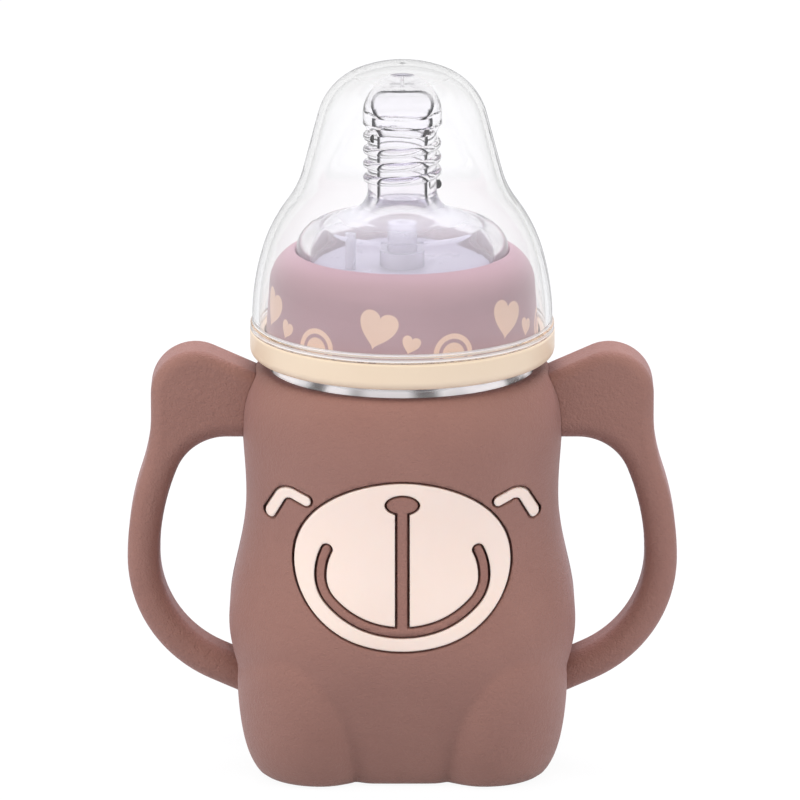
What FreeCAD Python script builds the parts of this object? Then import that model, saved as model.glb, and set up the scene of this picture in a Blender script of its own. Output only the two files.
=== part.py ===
"""Baby bottle in a bear sleeve with two handles, in millimetres.

+Z is up, the face looks along -Y, and the origin lies under the middle of the base.
"""
import FreeCAD
import Part
import Sketcher
import math
import os
from types import SimpleNamespace

# Driving sizes, in millimetres apart from turns and degrees
SIZES = {
    # Glass bottle, from its foot to the rim of its neck
    "glass_radius": 28.5,
    "glass_wall": 2.2,
    "glass_base": 4.0,
    "glass_heel": 6.0,
    "bottle_body": 82.5,
    "shoulder_step": 4.0,
    "neck_wall": 2.5,
    "neck_height": 16.0,
    "rim_round": 0.8,
    # Screw thread shared by the neck and the collar
    "thread_lead": 5.0,
    "thread_turns": 1.25,
    "ridge_height": 1.3,
    "ridge_foot": 2.2,
    "ridge_crest": 1.2,
    "ridge_root": 0.4,
    "ridge_play": 0.25,
    "thread_gap": 0.4,
    "thread_start": 4.0,
    # Silicone sleeve round the bottle
    "sleeve_floor": 3.5,
    "sleeve_fit": 0.2,
    "sleeve_lip": 1.5,
    "base_edge": 3.2,
    "base_recess_radius": 18.0,
    "base_recess_depth": 1.0,
    "leg_edge": 2.5,
    # Handle, measured out from the waist and from the base or the rim
    "handle_reach": 24.9,
    "handle_depth": 13.0,
    "handle_edge": 2.6,
    "arm_thickness": 7.0,
    "arm_crest": 0.4,
    "root_depth": 4.5,
    "ear_radius": 9.6,
    "ear_inset": 5.3,
    "ear_drop": 5.6,
    "ear_slope": 24.0,
    "ear_foot": 9.5,
    "arm_middle": 45.0,
    "arm_end_level": 17.6,
    "arch_drop": 15.6,
    "arch_shoulder_inset": 3.9,
    "arch_shoulder_drop": 22.8,
    # Face, laid into the front of the sleeve
    "muzzle_half_width": 23.2,
    "muzzle_half_height": 18.3,
    "muzzle_level": 51.5,
    "inlay_depth": 1.6,
    "inlay_proud": 0.25,
    "groove": 0.45,
    "nose_half_width": 3.4,
    "nose_half_height": 1.9,
    "nose_rise": 13.5,
    "mouth_line": 2.3,
    "smile_drop": 14.3,
    "smile_line": 1.8,
    "smile_bottom": 21.8,
    "smile_bottom_turn": 45.0,
    "smile_corner": 7.4,
    "smile_corner_turn": 45.0,
    "smile_end": 12.5,
    "smile_end_turn": 27.0,
    "eye_inset": 6.5,
    "eye_rise": 8.5,
    "eye_line": 2.0,
    "eye_leg": 4.7,
    "eye_bend": 2.4,
    "eye_brow": 2.8,
    "eye_lean": 63.0,
    "eye_fall": 20.0,
    # Screw collar and its trim ring
    "collar_gap": 0.3,
    "collar_wall": 3.6,
    "collar_taper": 1.2,
    "collar_shoulder": 6.4,
    "collar_top_width": 5.0,
    "collar_crown": 4.9,
    "collar_edge": 0.7,
    "foot_lip": 1.1,
    "foot_height": 1.6,
    "lip_reach": 4.2,
    "lip_height": 1.8,
    "opening_step": 1.2,
    "ring_fit": 0.1,
    "ring_lip": 2.0,
    "ring_drop": 0.4,
    "ring_height": 6.0,
    "ring_foot_round": 1.8,
    "ring_top_round": 0.6,
    # Nipple
    "flange_thickness": 2.4,
    "flange_gap": 0.6,
    "lip_play": 0.2,
    "lip_gap": 0.3,
    "nipple_wall": 2.1,
    "nipple_skirt": 2.8,
    "bell_rise": 5.7,
    "bell_reach": 5.2,
    "cone_reach": 11.2,
    "neck_flare": 4.6,
    "teat_radius": 7.5,
    "teat_neck": 13.7,
    "head_flare": 1.1,
    "head_rise": 1.9,
    "head_straight": 1.8,
    "head_dome": 8.3,
    "dimple_radius": 2.6,
    "dimple_depth": 1.2,
    "outlet_radius": 0.4,
    "spiral_pitch": 3.1,
    "spiral_turns": 3.6,
    "spiral_ridge": 1.0,
    "spiral_start": 1.9,
    # Straw with its adapter and its weight
    "plug_gap": 0.1,
    "plug_height": 4.0,
    "plug_rim": 1.6,
    "rim_gap": 0.5,
    "spigot_radius": 4.8,
    "spigot_height": 3.0,
    "tip_radius": 3.2,
    "tip_height": 4.3,
    "socket_wall": 1.8,
    "socket_depth": 6.5,
    "tube_radius": 2.5,
    "tube_bore": 1.5,
    "tube_length": 72.0,
    "tube_fit": 0.05,
    "duct_across": 11.0,
    "duct_forward": 4.0,
    "duct_radius": 1.1,
    "duct_bore": 0.5,
    "duct_height": 6.5,
    "weight_radius": 8.0,
    "weight_cap_height": 7.0,
    "weight_neck_radius": 3.6,
    "weight_nozzle": 5.0,
    "weight_band": 4.5,
    "weight_core": 5.0,
    "weight_base_height": 6.0,
    "weight_edge": 2.5,
    # Dome cap
    "dome_setback": 0.5,
    "dome_wall": 1.4,
    "dome_lip": 0.4,
    "dome_lip_height": 1.2,
    "dome_headroom": 1.8,
    "dome_belly_rise": 17.1,
    "dome_belly_inset": 2.2,
    "dome_waist_drop": 31.0,
    "dome_waist_inset": 7.5,
    "dome_neck_drop": 23.8,
    "dome_neck_inset": 11.0,
    "dome_crown_drop": 11.3,
    "dome_crown_inset": 14.3,
    "dome_top_drop": 2.4,
    "dome_top_inset": 21.5,
}

# Levels of the sleeve's form: height, wall at the side, wall at the front, half of the straight side
SECTIONS = {
    "base": (0.0, -1.5, -2.0, 14.0),
    "foot": (6.0, 2.0, 1.2, 14.0),
    "thigh": (15.0, 4.7, 4.3, 12.5),
    "hip": (31.0, 8.9, 7.6, 10.0),
    "waist": (49.0, 6.2, 5.9, 4.0),
    "chest": (19.5, 5.6, 5.5, 2.5),
    "rim": (0.0, 2.4, 2.4, 0.6),
}
SECTION_MEASURES = ("level", "side", "front", "flat")
UPPER_SECTIONS = ("chest", "rim")

# Levels of a leg: height, how far its middle lies in from the side and from the front, radius
LEG_SECTIONS = {
    "toe": (0.0, 10.0, 10.6, 10.4),
    "ankle": (7.0, 9.0, 9.2, 11.7),
    "calf": (16.0, 7.8, 8.0, 12.9),
    "knee": (25.0, 6.6, 8.2, 11.6),
    "lap": (32.0, 6.4, 11.0, 7.0),
}
LEG_MEASURES = ("level", "across", "forward", "radius")

for table, measures in ((SECTIONS, SECTION_MEASURES), (LEG_SECTIONS, LEG_MEASURES)):
    for section, values in table.items():
        for measure, value in zip(measures, values):
            SIZES[f"{section}_{measure}"] = value


class Size:
    """A number with the spreadsheet expression that gives it."""

    def __init__(self, value, text):
        self.value = value
        self.text = text

    @staticmethod
    def of(other):
        return other if isinstance(other, Size) else Size(float(other), repr(float(other)))

    def join(self, sign, other, value):
        return Size(value, f"({self.text} {sign} {other.text})")

    def __add__(self, other):
        other = Size.of(other)
        return self.join("+", other, self.value + other.value)

    def __sub__(self, other):
        other = Size.of(other)
        return self.join("-", other, self.value - other.value)

    def __mul__(self, other):
        other = Size.of(other)
        return self.join("*", other, self.value * other.value)

    def __truediv__(self, other):
        other = Size.of(other)
        return self.join("/", other, self.value / other.value)

    def __radd__(self, other):
        return Size.of(other) + self

    def __rsub__(self, other):
        return Size.of(other) - self

    def __rmul__(self, other):
        return Size.of(other) * self

    def __neg__(self):
        return Size(-self.value, f"(-{self.text})")


doc = FreeCAD.newDocument("BabyBottle")
sheet = doc.addObject("Spreadsheet::Sheet", "Sizes")
for row, (alias, value) in enumerate(SIZES.items(), start=1):
    sheet.set(f"A{row}", alias)
    sheet.set(f"B{row}", str(value))
    sheet.setAlias(f"B{row}", alias)
doc.recompute()
d = SimpleNamespace(**{alias: Size(value, f"Sizes.{alias}") for alias, value in SIZES.items()})

ZERO = Size.of(0)
FRONT_TURN = FreeCAD.Rotation(FreeCAD.Vector(1, 0, 0), 90)


# Outlines: each step says how the line gets to its next corner
def start(across, up):
    return SimpleNamespace(kind="start", across=Size.of(across), up=Size.of(up))


def line(across, up):
    return SimpleNamespace(kind="line", across=Size.of(across), up=Size.of(up))


def arc(across, up, radius, turn):
    """An arc of a set radius; turn is 1 to the left and -1 to the right."""
    return SimpleNamespace(kind="arc", across=Size.of(across), up=Size.of(up), radius=radius, turn=turn)


def smooth(across, up):
    """An arc that leaves the piece before it without a kink."""
    return SimpleNamespace(kind="smooth", across=Size.of(across), up=Size.of(up))


def heading_between(first, last):
    return math.atan2(last.y - first.y, last.x - first.x)


def arc_through(first, last, heading):
    """Circle arc from first to last that starts off along heading, as an anticlockwise sketch arc."""
    chord = last - first
    bend = heading_between(first, last) - heading
    bend = math.atan2(math.sin(bend), math.cos(bend))
    radius = chord.Length / (2 * abs(math.sin(bend)))
    side = math.copysign(1.0, bend)
    centre = first + FreeCAD.Vector(-math.sin(heading), math.cos(heading), 0) * radius * side
    ends = (first, last) if side > 0 else (last, first)
    angles = [math.atan2(end.y - centre.y, end.x - centre.x) for end in ends]
    circle = Part.Circle(centre, FreeCAD.Vector(0, 0, 1), radius)
    positions = (1, 2) if side > 0 else (2, 1)
    return Part.ArcOfCircle(circle, angles[0], angles[1]), positions, heading + 2 * bend


def bind(sketch, constraint, size):
    index = sketch.addConstraint(constraint)
    if size.text.startswith(("(", "Sizes")):
        sketch.setExpression(f"Constraints[{index}]", size.text)


def draw(sketch, path):
    """Draw a closed outline of lines and arcs and hold every corner by its sizes."""
    corners = [FreeCAD.Vector(step.across.value, step.up.value, 0) for step in path]
    heading = None
    ends = []
    for index, step in enumerate(path[1:], start=1):
        first = corners[index - 1]
        last = corners[index]
        if step.kind == "line":
            geometry = Part.LineSegment(first, last)
            positions = (1, 2)
            heading = heading_between(first, last)
        elif step.kind == "arc":
            lean = step.turn * math.asin(min(1.0, (last - first).Length / (2 * step.radius.value)))
            geometry, positions, heading = arc_through(first, last, heading_between(first, last) - lean)
        else:
            geometry, positions, heading = arc_through(first, last, heading)
        ends.append((sketch.addGeometry(geometry), positions))
    for index, step in enumerate(path[1:]):
        piece, (begin, finish) = ends[index]
        before, (_, joint) = ends[index - 1]
        if step.kind == "smooth":
            sketch.addConstraint(Sketcher.Constraint("Tangent", before, joint, piece, begin))
        else:
            sketch.addConstraint(Sketcher.Constraint("Coincident", before, joint, piece, begin))
        if step.kind == "arc":
            bind(sketch, Sketcher.Constraint("Radius", piece, step.radius.value), step.radius)
        for kind, size in (("DistanceX", step.across), ("DistanceY", step.up)):
            bind(sketch, Sketcher.Constraint(kind, -1, 1, piece, finish, size.value), size)


def draw_circle(sketch, across, up, radius):
    middle = FreeCAD.Vector(across.value, up.value, 0)
    index = sketch.addGeometry(Part.Circle(middle, FreeCAD.Vector(0, 0, 1), radius.value))
    bind(sketch, Sketcher.Constraint("Radius", index, radius.value), radius)
    for kind, size in (("DistanceX", across), ("DistanceY", up)):
        bind(sketch, Sketcher.Constraint(kind, -1, 1, index, 3, size.value), size)


def plane_of(body, role):
    return next(plane for plane in body.Origin.OriginFeatures if plane.Role == role)


def sketch_on(body, name, role):
    sketch = body.newObject("Sketcher::SketchObject", name)
    sketch.AttachmentSupport = [(plane_of(body, role), "")]
    sketch.MapMode = "FlatFace"
    return sketch


def revolved(label, path):
    """A body turned round the Z axis from an outline of radius and height."""
    body = doc.addObject("PartDesign::Body", label)
    sketch = sketch_on(body, f"{label}_outline", "XZ_Plane")
    draw(sketch, path)
    turned = body.newObject("PartDesign::Revolution", f"{label}_turned")
    turned.Profile = sketch
    turned.ReferenceAxis = (sketch, ["V_Axis"])
    turned.Angle = 360
    doc.recompute()
    return body


def wind(body, name, sketch, pitch, turns):
    """Wind a sketched section round the Z axis of its body as a rising ridge."""
    ridge = body.newObject("PartDesign::AdditiveHelix", name)
    ridge.Profile = sketch
    ridge.ReferenceAxis = (sketch, ["V_Axis"])
    ridge.Mode = "pitch-turns-angle"
    ridge.setExpression("Pitch", pitch.text)
    ridge.setExpression("Turns", turns.text)
    doc.recompute()


def boolean(kind, label, base, tool):
    result = doc.addObject(f"Part::{kind}", label)
    result.Base = base
    result.Tool = tool
    doc.recompute()
    return result


def fused(label, shapes):
    result = doc.addObject("Part::MultiFuse", label)
    result.Shapes = shapes
    doc.recompute()
    return result


def place(thing, across, forward, up):
    """Bind where a primitive stands."""
    for axis, size in (("x", across), ("y", forward), ("z", up)):
        thing.setExpression(f".Placement.Base.{axis}", Size.of(size).text)


def rod(label, radius, height, across, forward, foot):
    """An upright cylinder."""
    cylinder = doc.addObject("Part::Cylinder", label)
    cylinder.setExpression("Radius", radius.text)
    cylinder.setExpression("Height", height.text)
    place(cylinder, across, forward, foot)
    return cylinder


# Levels and radii that several pieces share
bore_radius = d.glass_radius + d.sleeve_fit
shoulder_level = d.sleeve_floor + d.bottle_body
sleeve_top = shoulder_level + d.sleeve_lip
neck_radius = d.glass_radius - d.shoulder_step
neck_foot = shoulder_level + d.shoulder_step
neck_top = neck_foot + d.neck_height
mouth_radius = neck_radius - d.neck_wall
collar_bore = neck_radius + d.ridge_height + d.thread_gap
collar_radius = collar_bore + d.collar_wall
collar_foot = neck_foot + d.collar_gap
foot_radius = collar_radius + d.foot_lip
foot_top = collar_foot + d.foot_height
lip_radius = collar_bore - d.lip_reach
lip_level = neck_top + d.flange_thickness
lip_top = lip_level + d.lip_height
opening_radius = lip_radius + d.opening_step
ring_bore = foot_radius + d.ring_fit
ring_radius = ring_bore + d.ring_lip
ring_foot = collar_foot - d.ring_drop
ring_top = ring_foot + d.ring_height
waist_half = bore_radius + d.waist_side


# Sleeve form: rounded squares lofted from the base to the rim
def section_sketch(body, name, section, grow):
    level, side_wall, front_wall, flat_side = (
        getattr(d, f"{section}_{measure}") for measure in SECTION_MEASURES)
    if section in UPPER_SECTIONS:
        level = sleeve_top - level
    side = bore_radius + side_wall + grow
    front = bore_radius + front_wall + grow
    corner = side - flat_side
    flat_front = front - corner
    sketch = sketch_on(body, name, "XY_Plane")
    sketch.setExpression("AttachmentOffset.Base.z", level.text)
    draw(sketch, [
        start(flat_side, -front),
        arc(side, -flat_front, corner, 1),
        line(side, flat_front),
        arc(flat_side, front, corner, 1),
        line(-flat_side, front),
        arc(-side, flat_front, corner, 1),
        line(-side, -flat_front),
        arc(-flat_side, -front, corner, 1),
        line(flat_side, -front),
    ])
    return sketch


def lofted(body, name, sketches):
    """A smooth loft through sketches that are listed from the bottom up."""
    loft = body.newObject("PartDesign::AdditiveLoft", name)
    loft.Profile = sketches[-1]
    loft.Sections = sketches[-2::-1]
    loft.Ruled = False
    doc.recompute()
    return loft


def form(label, grow):
    """The sleeve's outer form, grown or shrunk all round by one amount."""
    body = doc.addObject("PartDesign::Body", label)
    sketches = [section_sketch(body, f"{label}_{section}", section, grow) for section in SECTIONS]
    doc.recompute()
    return body, lofted(body, f"{label}_loft", sketches)


def edges_at_level(shape, level):
    """Names of the edges that lie at one height."""
    names = []
    for index, edge in enumerate(shape.Edges, start=1):
        box = edge.BoundBox
        if abs(box.ZMin - level) < 1e-4 and abs(box.ZMax - level) < 1e-4:
            names.append(f"Edge{index}")
    return names


def rounded(body, name, base, edges, radius):
    fillet = body.newObject("PartDesign::Fillet", name)
    fillet.Base = (base, edges)
    fillet.setExpression("Radius", radius.text)
    doc.recompute()
    return fillet


def leg(label, side):
    """A leg that swells out of a front corner, a loft of circles with a rounded sole."""
    body = doc.addObject("PartDesign::Body", label)
    sketches = []
    for section in LEG_SECTIONS:
        level, across, forward, radius = (getattr(d, f"{section}_{measure}") for measure in LEG_MEASURES)
        sketch = sketch_on(body, f"{label}_{section}", "XY_Plane")
        sketch.setExpression("AttachmentOffset.Base.z", level.text)
        middle = (side * (bore_radius - across), forward - bore_radius)
        draw_circle(sketch, *middle, radius)
        sketches.append(sketch)
    doc.recompute()
    loft = lofted(body, f"{label}_loft", sketches)
    rounded(body, f"{label}_sole", loft, edges_at_level(loft.Shape, 0), d.leg_edge)
    return body


outer_form, outer_loft = form("sleeve_form", ZERO)
deep_form, _ = form("inlay_floor_form", -d.inlay_depth)
proud_form, _ = form("inlay_face_form", d.inlay_proud)
rounded(outer_form, "base_rounding", outer_loft, edges_at_level(outer_loft.Shape, 0), d.base_edge)


# Face marks: flat outlines pushed forward through the front of the sleeve
face_reach = bore_radius + d.hip_front + d.inlay_proud + d.base_edge


def pushed(label, outline):
    """Push a closed outline in the XZ plane out along -Y."""
    solid = doc.addObject("Part::Extrusion", f"{label}_block")
    solid.Base = outline
    solid.DirMode = "Custom"
    solid.Dir = FreeCAD.Vector(0, -1, 0)
    solid.setExpression("LengthFwd", face_reach.text)
    solid.Solid = True
    doc.recompute()
    return solid


def oval(label, half_width, half_height, level):
    ellipse = doc.addObject("Part::Ellipse", f"{label}_oval")
    ellipse.setExpression("MajorRadius", half_width.text)
    ellipse.setExpression("MinorRadius", half_height.text)
    ellipse.Placement = FreeCAD.Placement(FreeCAD.Vector(), FRONT_TURN)
    ellipse.setExpression(".Placement.Base.z", level.text)
    return pushed(label, ellipse)


def marked(label, path):
    sketch = doc.addObject("Sketcher::SketchObject", f"{label}_outline")
    sketch.Placement = FreeCAD.Placement(FreeCAD.Vector(), FRONT_TURN)
    draw(sketch, path)
    return pushed(label, sketch)


def trace(foot, heading, moves):
    """Joints of a pen line: each move is a run of a length, or a bend of a radius by a turn to the left."""
    across, up = foot
    joints = [(across, up, heading)]
    for size, degrees in moves:
        turn = math.radians(degrees)
        if turn:
            across = across + size * (math.sin(heading + turn) - math.sin(heading))
            up = up + size * (math.cos(heading) - math.cos(heading + turn))
        else:
            across = across + size * math.cos(heading)
            up = up + size * math.sin(heading)
        heading = heading + turn
        joints.append((across, up, heading))
    return joints


def stroke(label, side, foot, heading, moves, half):
    """A pen line of even width with round ends, mirrored to the left where side is -1."""
    joints = trace(foot, heading, moves)
    inner = [(side * (x - half * math.sin(turn)), z + half * math.cos(turn)) for x, z, turn in joints]
    outer = [(side * (x + half * math.sin(turn)), z - half * math.cos(turn)) for x, z, turn in joints]
    path = [start(*inner[0])]
    for (size, turn), corner in zip(moves, inner[1:]):
        path.append(arc(*corner, size - half, side) if turn else line(*corner))
    path.append(smooth(*outer[-1]))
    for (size, turn), corner in zip(moves[::-1], outer[-2::-1]):
        path.append(arc(*corner, size + half, -side) if turn else line(*corner))
    path.append(smooth(*inner[0]))
    return marked(label, path)


def nose_and_mouth(label, grow):
    """An oval nose, a line below it and a wide smile that the line runs into."""
    nose_level = d.muzzle_level + d.nose_rise
    smile_level = d.muzzle_level - d.smile_drop
    half = d.mouth_line / 2 + grow
    nose = oval(f"{label}_nose", d.nose_half_width + grow, d.nose_half_height + grow, nose_level)
    upright = marked(f"{label}_line", [
        start(-half, nose_level),
        line(-half, smile_level),
        line(half, smile_level),
        line(half, nose_level),
        line(-half, nose_level),
    ])
    moves = [
        (d.smile_bottom, d.smile_bottom_turn.value),
        (d.smile_corner, d.smile_corner_turn.value),
        (d.smile_end, d.smile_end_turn.value),
    ]
    end_across, end_level, end_heading = trace((ZERO, smile_level), 0, moves)[-1]
    smile = stroke(
        f"{label}_smile", 1, (-end_across, end_level), -end_heading, moves[::-1] + moves,
        d.smile_line / 2 + grow)
    return fused(label, [nose, upright, smile])


def eye(label, side, grow):
    """A closed eye: a leg that leans in, a bend and a short brow that falls towards the muzzle."""
    foot = (waist_half - d.eye_inset, d.muzzle_level + d.eye_rise)
    moves = [
        (d.eye_leg, 0),
        (d.eye_bend, d.eye_lean.value + d.eye_fall.value),
        (d.eye_brow, 0),
    ]
    return stroke(label, side, foot, math.pi - math.radians(d.eye_lean.value), moves, d.eye_line / 2 + grow)


def inlay(label, block, slot=None):
    """A cream piece whose face follows the sleeve and whose back lies on the floor of its recess."""
    name = label if slot is None else f"{label}_oval_piece"
    capped = boolean("Common", f"{name}_capped", block, proud_form)
    piece = boolean("Cut", name, capped, deep_form)
    return piece if slot is None else boolean("Cut", label, piece, slot)


muzzle_block = oval("muzzle", d.muzzle_half_width, d.muzzle_half_height, d.muzzle_level)
face_slot = nose_and_mouth("face_slot", d.groove)
face_island = nose_and_mouth("face_island", ZERO)
inlay("muzzle_inlay", muzzle_block, face_slot)

recess_wide = oval(
    "muzzle_recess", d.muzzle_half_width + d.groove, d.muzzle_half_height + d.groove, d.muzzle_level)
recesses = [boolean("Cut", "muzzle_recess_tool", recess_wide, face_island)]
for name, side in (("left", -1), ("right", 1)):
    inlay(f"{name}_eye_inlay", eye(f"{name}_eye", side, ZERO))
    recesses.append(eye(f"{name}_eye_recess", side, d.groove))
recess_tool = boolean("Cut", "recess_tool", fused("recess_blocks", recesses), deep_form)


# Sleeve: the form with its legs, hollow for the bottle and cut for the face
def sleeve():
    hollow = revolved("bottle_hollow", [
        start(0, d.sleeve_floor),
        line(d.glass_radius - d.glass_heel, d.sleeve_floor),
        smooth(bore_radius, d.sleeve_floor + d.glass_heel + d.sleeve_fit),
        line(bore_radius, sleeve_top + d.sleeve_lip),
        line(0, sleeve_top + d.sleeve_lip),
        line(0, d.sleeve_floor),
    ])
    bear = fused("bear_form", [outer_form, leg("left_leg", -1), leg("right_leg", 1)])
    underside = rod("underside_recess", d.base_recess_radius, d.base_recess_depth, 0, 0, 0)
    hollowed = boolean("Cut", "hollow_bear", bear, hollow)
    stood = boolean("Cut", "stood_bear", hollowed, underside)
    boolean("Cut", "silicone_sleeve", stood, recess_tool)


sleeve()


# Handles: one flat outline with an ear on top, padded, rounded and cut to the sleeve
def rims_of(shape, root, gap, on_gap):
    """Rims of a handle's two flat sides, on its finger gap or outside it, without those at its root."""
    touch = 1e-4
    probe = 0.5
    half = d.handle_depth.value / 2
    names = []
    for index, edge in enumerate(shape.Edges, start=1):
        box = edge.BoundBox
        on_side = box.YLength < touch and abs(abs(box.YMax) - half) < touch
        if not on_side or box.XMin > root - touch:
            continue
        middle = edge.valueAt((edge.FirstParameter + edge.LastParameter) / 2)
        middle.y = 0
        inwards = (gap - middle).normalize()
        if shape.isInside(middle + inwards * probe, touch, True) != on_gap:
            names.append(f"Edge{index}")
    return names


def handles():
    root = -(waist_half - d.root_depth)
    outer_edge = -(waist_half + d.handle_reach)
    inner_edge = outer_edge + d.arm_thickness
    ear_edge = outer_edge + d.ear_inset
    ear_across = ear_edge + d.ear_radius
    ear_level = sleeve_top - d.ear_drop
    slope = math.radians(d.ear_slope.value)
    top_across = ear_across + d.ear_radius * math.sin(slope)
    top_level = ear_level + d.ear_radius * math.cos(slope)
    root_level = top_level - (root - top_across) * math.tan(slope)
    ear_foot = ear_level - d.ear_foot / 2
    turn_share = 0.4
    turn_across = ear_edge + (outer_edge - ear_edge) * turn_share
    turn_level = ear_foot + (d.arm_middle - ear_foot) * turn_share
    arm_slope = math.radians(d.ear_slope.value)
    half_turn = (math.pi / 2 - arm_slope) / 2
    end_across = outer_edge + (d.arm_middle - d.arm_end_level) * math.tan(half_turn)
    end_inner_across = end_across + d.arm_thickness * math.sin(arm_slope)
    end_inner_level = d.arm_end_level + d.arm_thickness * math.cos(arm_slope)
    arch_level = sleeve_top - d.arch_drop
    shoulder_across = inner_edge + d.arch_shoulder_inset
    arch_shoulder = sleeve_top - d.arch_shoulder_drop
    lean = d.arch_shoulder_inset / (arch_shoulder - d.arm_middle)
    arch_across = shoulder_across + (arch_level - arch_shoulder) * (1 + lean) / (1 - lean)
    body = doc.addObject("PartDesign::Body", "handle_form")
    sketch = sketch_on(body, "handle_outline", "XZ_Plane")
    draw(sketch, [
        start(root, root_level),
        line(top_across, top_level),
        smooth(ear_edge, ear_level),
        line(ear_edge, ear_foot),
        smooth(turn_across, turn_level),
        smooth(outer_edge, d.arm_middle),
        smooth(end_across, d.arm_end_level),
        line(root, d.arm_end_level - (root - end_across) * math.tan(arm_slope)),
        line(root, end_inner_level - (root - end_inner_across) * math.tan(arm_slope)),
        line(end_inner_across, end_inner_level),
        smooth(inner_edge, d.arm_middle),
        smooth(shoulder_across, arch_shoulder),
        smooth(arch_across, arch_level),
        line(root, arch_level),
        line(root, root_level),
    ])
    pad = body.newObject("PartDesign::Pad", "handle_pad")
    pad.Profile = sketch
    pad.setExpression("Length", d.handle_depth.text)
    pad.Midplane = True
    doc.recompute()
    gap_across = (inner_edge.value + root.value) / 2
    gap_level = (arch_level.value + end_inner_level.value) / 2
    gap = FreeCAD.Vector(gap_across, 0, gap_level)
    outside = rims_of(pad.Shape, root.value, gap, False)
    outer_rounding = rounded(body, "handle_rounding", pad, outside, d.handle_edge)
    inside = rims_of(outer_rounding.Shape, root.value, gap, True)
    rounded(body, "grip_rounding", outer_rounding, inside, d.arm_thickness - d.handle_edge - d.arm_crest)
    left = boolean("Cut", "left_handle", body, outer_form)
    right = doc.addObject("Part::Mirroring", "right_handle")
    right.Source = left
    right.Normal = FreeCAD.Vector(1, 0, 0)
    doc.recompute()


handles()


# Threads: one ridge section for the neck, and its counterpart below it in the collar
thread_level = neck_foot + d.thread_start


def ridge_section(body, name, root_radius, crest_radius, level):
    crest_inset = (d.ridge_foot - d.ridge_crest) / 2
    sketch = sketch_on(body, name, "XZ_Plane")
    draw(sketch, [
        start(root_radius, level),
        line(crest_radius, level + crest_inset),
        line(crest_radius, level + d.ridge_foot - crest_inset),
        line(root_radius, level + d.ridge_foot),
        line(root_radius, level),
    ])
    doc.recompute()
    return sketch


def glass_bottle():
    inner_radius = d.glass_radius - d.glass_wall
    inner_foot = d.sleeve_floor + d.glass_base
    inner_heel = d.glass_heel - d.glass_wall
    inner_shoulder = shoulder_level + d.shoulder_step - d.glass_wall
    body = revolved("glass_bottle", [
        start(0, d.sleeve_floor),
        line(d.glass_radius - d.glass_heel, d.sleeve_floor),
        smooth(d.glass_radius, d.sleeve_floor + d.glass_heel),
        line(d.glass_radius, shoulder_level),
        smooth(neck_radius, neck_foot),
        line(neck_radius, neck_top - d.rim_round),
        smooth(neck_radius - d.rim_round, neck_top),
        line(mouth_radius + d.rim_round, neck_top),
        smooth(mouth_radius, neck_top - d.rim_round),
        line(mouth_radius, inner_shoulder),
        line(neck_radius, inner_shoulder),
        smooth(inner_radius, shoulder_level),
        line(inner_radius, inner_foot + inner_heel),
        smooth(inner_radius - inner_heel, inner_foot),
        line(0, inner_foot),
        line(0, d.sleeve_floor),
    ])
    section = ridge_section(
        body, "neck_ridge_section", neck_radius - d.ridge_root, neck_radius + d.ridge_height, thread_level)
    wind(body, "neck_ridge", section, d.thread_lead, d.thread_turns)


def screw_ring():
    taper_top = collar_radius - d.collar_taper
    crown_level = lip_level + d.collar_crown
    crown_edge = taper_top - d.collar_top_width
    body = revolved("screw_ring", [
        start(collar_bore, collar_foot),
        line(foot_radius, collar_foot),
        line(foot_radius, foot_top),
        line(collar_radius, foot_top),
        line(taper_top, crown_level - d.collar_shoulder),
        smooth(crown_edge, crown_level),
        smooth(opening_radius, crown_level - d.collar_edge),
        line(opening_radius, lip_top),
        line(lip_radius, lip_top),
        line(lip_radius, lip_level),
        line(collar_bore, lip_level),
        line(collar_bore, collar_foot),
    ])
    section = ridge_section(
        body, "collar_ridge_section", collar_bore + d.ridge_root, neck_radius + d.thread_gap,
        thread_level - d.ridge_foot - d.ridge_play)
    wind(body, "collar_ridge", section, d.thread_lead, d.thread_turns)


def trim_ring():
    inner = collar_radius + d.ring_fit
    revolved("trim_ring", [
        start(ring_bore, ring_foot),
        line(ring_radius - d.ring_foot_round, ring_foot),
        smooth(ring_radius, ring_foot + d.ring_foot_round),
        line(ring_radius, ring_top - d.ring_top_round),
        smooth(ring_radius - d.ring_top_round, ring_top),
        line(inner, ring_top),
        line(inner, foot_top),
        line(ring_bore, foot_top),
        line(ring_bore, ring_foot),
    ])


glass_bottle()
screw_ring()
trim_ring()

# Nipple: flange, groove for the collar's lip, bell, spiral neck and head
groove_radius = lip_radius - d.lip_gap
bell_radius = opening_radius - d.lip_gap
bell_foot = lip_top + d.lip_play
skirt_top = bell_foot + d.nipple_skirt
bell_top = skirt_top + d.bell_rise
teat_foot = bell_top + d.neck_flare + d.nipple_wall
teat_top = teat_foot + d.teat_neck
head_radius = d.teat_radius + d.head_flare
head_foot = teat_top + d.head_rise
head_top = head_foot + d.head_straight + d.head_dome
plug_radius = groove_radius - d.nipple_wall


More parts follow.
